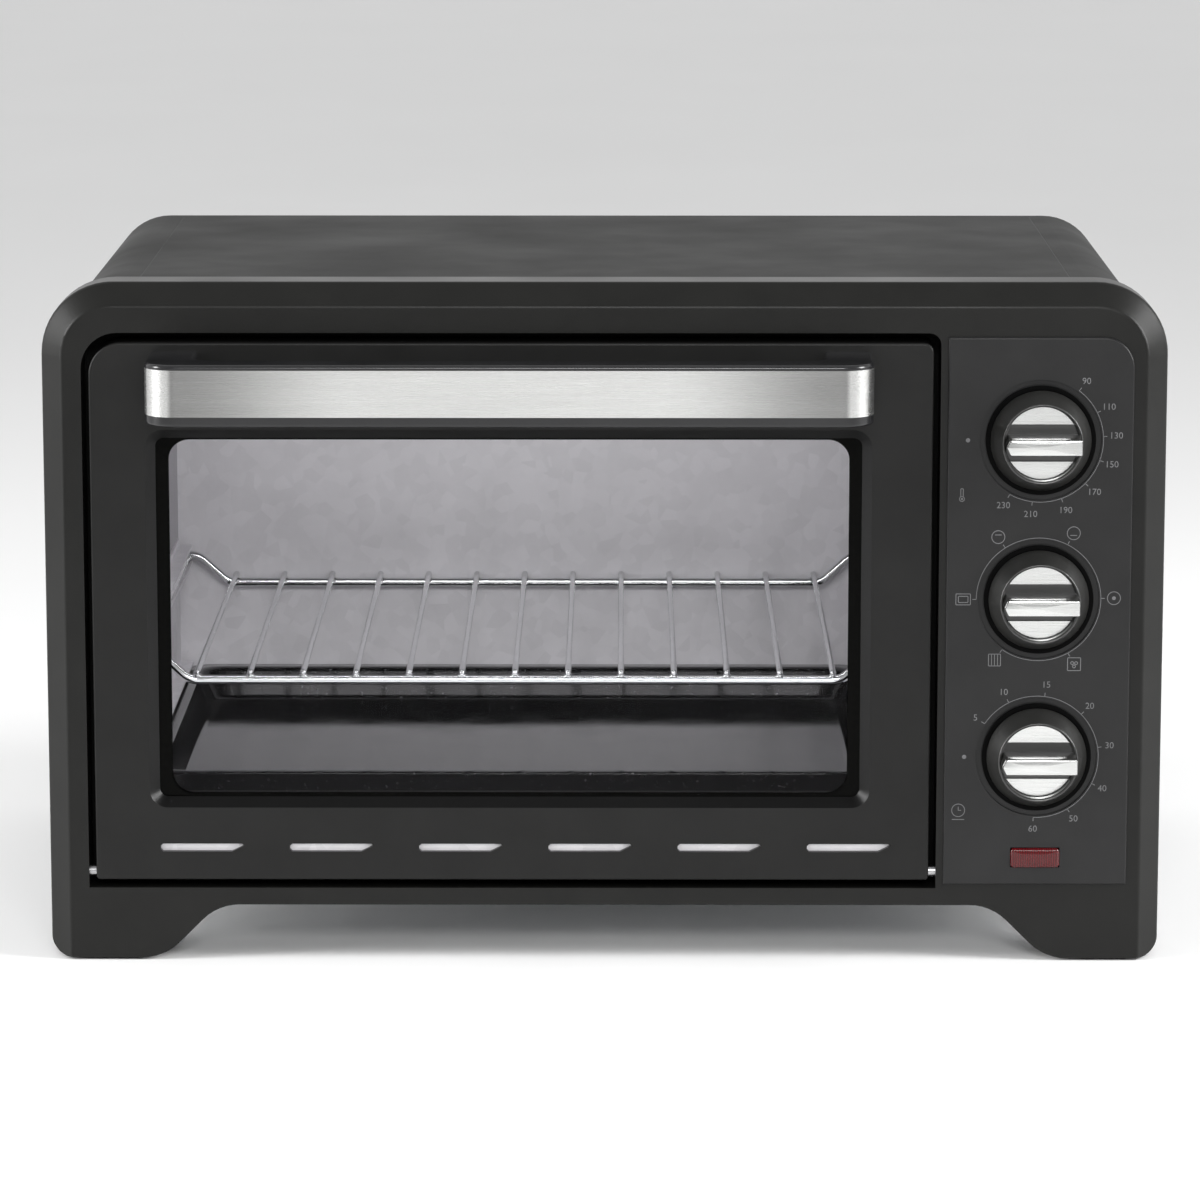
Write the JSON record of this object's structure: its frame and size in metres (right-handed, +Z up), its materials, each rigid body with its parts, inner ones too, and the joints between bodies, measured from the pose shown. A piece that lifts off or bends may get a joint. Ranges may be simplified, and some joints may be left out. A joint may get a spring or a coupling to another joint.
{
  "type": "toaster oven",
  "caption": "Countertop toaster oven with a drop-down glass door, bar handle, rotary controls, wire rack and baking tray.",
  "frame": {"origin": "middle of the whole object's footprint, on the worktop under its feet", "axes": "+Z up, +X to the right as seen from the front, the door faces -Y"},
  "size_m": [0.465, 0.35, 0.285],
  "materials": {
    "bezel_black": "satin moulded",
    "door_black": "satin moulded",
    "panel_black": "fine grain",
    "cover_black": "satin powder coat",
    "aluminised_steel": "dull",
    "galvanised_steel": "dull",
    "spring_steel": "bright",
    "chrome_wire": "polished",
    "black_enamel": "gloss enamel",
    "door_glass": "clear with a black border",
    "silicone": "matt",
    "handle_black": "gloss",
    "handle_steel": "brushed along its length",
    "knob_black": "gloss",
    "knob_silver": "satin",
    "lens_red": "translucent",
    "ceramic": "unglazed",
    "element_sheath": "heat darkened",
    "control_plastic": "moulded",
    "terminal_white": "moulded",
    "brass": "bright",
    "screw_steel": "plated",
    "rubber_black": "matt",
    "wire_insulation": "matt"
  },
  "bodies": {
    "oven_body": {"base_pan": "galvanised_steel", "cavity_back": "aluminised_steel", "cavity_shell": "aluminised_steel", "control_panel": "panel_black", "control_screws": "screw_steel", "control_wires": "wire_insulation", "cord_gland": "rubber_black", "cover_screws": "screw_steel", "element_insulators": "ceramic", "front_bezel": "bezel_black", "front_foot_pads": "rubber_black", "front_plate": "cover_black", "heat_shield": "galvanised_steel", "hinge_pins": "screw_steel", "indicator_lamp": "terminal_white", "indicator_lens": "lens_red", "left_door_spring": "spring_steel", "left_hinge_bracket": "galvanised_steel", "left_runner": "aluminised_steel", "lower_front_element": "element_sheath", "lower_rear_element": "element_sheath", "outer_cover": "cover_black", "rear_feet": "bezel_black", "rear_panel": "cover_black", "rear_screws": "screw_steel", "right_door_spring": "spring_steel", "right_hinge_bracket": "galvanised_steel", "right_runner": "aluminised_steel", "selector_switch": "control_plastic", "spring_anchors": "galvanised_steel", "terminal_block": "terminal_white", "thermostat_body": "galvanised_steel", "timer_bell": "brass", "timer_body": "galvanised_steel", "upper_front_element": "element_sheath", "upper_rear_element": "element_sheath"},
    "door": {"clip_screws": "screw_steel", "door_frame": "door_black", "door_glass": "door_glass", "door_inner_panel": "cover_black", "glass_clips": "spring_steel", "glass_seal": "silicone", "handle_body": "handle_black", "handle_screws": "screw_steel", "handle_trim": "handle_steel", "inner_panel_screws": "screw_steel", "spring_studs": "screw_steel", "vent_strip": "aluminised_steel"},
    "rack": {"rack_frame": "chrome_wire", "rack_wires": "chrome_wire"},
    "tray": {"baking_tray": "black_enamel"},
    "thermostat_control": {"thermostat_knob": "knob_black", "thermostat_knob_trim": "knob_silver", "thermostat_shaft": "brass"},
    "selector_control": {"selector_knob": "knob_black", "selector_knob_trim": "knob_silver", "selector_shaft": "brass"},
    "timer_control": {"timer_knob": "knob_black", "timer_knob_trim": "knob_silver", "timer_shaft": "brass"}
  },
  "joints": [
    {"name": "door_hinge", "type": "hinge", "parent": "oven_body", "child": "door", "pos_m": [0, -0.1265, 0.0375], "axis": [1, 0, 0], "range_deg": [0, 86], "deforming": ["left_door_spring", "right_door_spring"]},
    {"name": "rack_slide", "type": "slide", "parent": "oven_body", "child": "rack", "axis": [0, -1, 0], "range_m": [0, 0.12]},
    {"name": "tray_slide", "type": "slide", "parent": "oven_body", "child": "tray", "axis": [0, -1, 0], "range_m": [0, 0.045]},
    {"name": "thermostat_turn", "type": "hinge", "parent": "oven_body", "child": "thermostat_control", "pos_m": [0.17975, -0.1317, 0.2207], "axis": [0, 1, 0], "range_deg": [0, 300]},
    {"name": "selector_turn", "type": "hinge", "parent": "oven_body", "child": "selector_control", "pos_m": [0.17975, -0.1317, 0.1541], "axis": [0, 1, 0], "range_deg": [0, 300]},
    {"name": "timer_turn", "type": "hinge", "parent": "oven_body", "child": "timer_control", "pos_m": [0.17975, -0.1317, 0.0875], "axis": [0, 1, 0], "range_deg": [0, 300]}
  ],
  "couplings": [
    {"joint": "rack_slide", "follows": "door_hinge", "m_per_rad": 0.0799},
    {"joint": "tray_slide", "follows": "door_hinge", "m_per_rad": 0.0299}
  ]
}
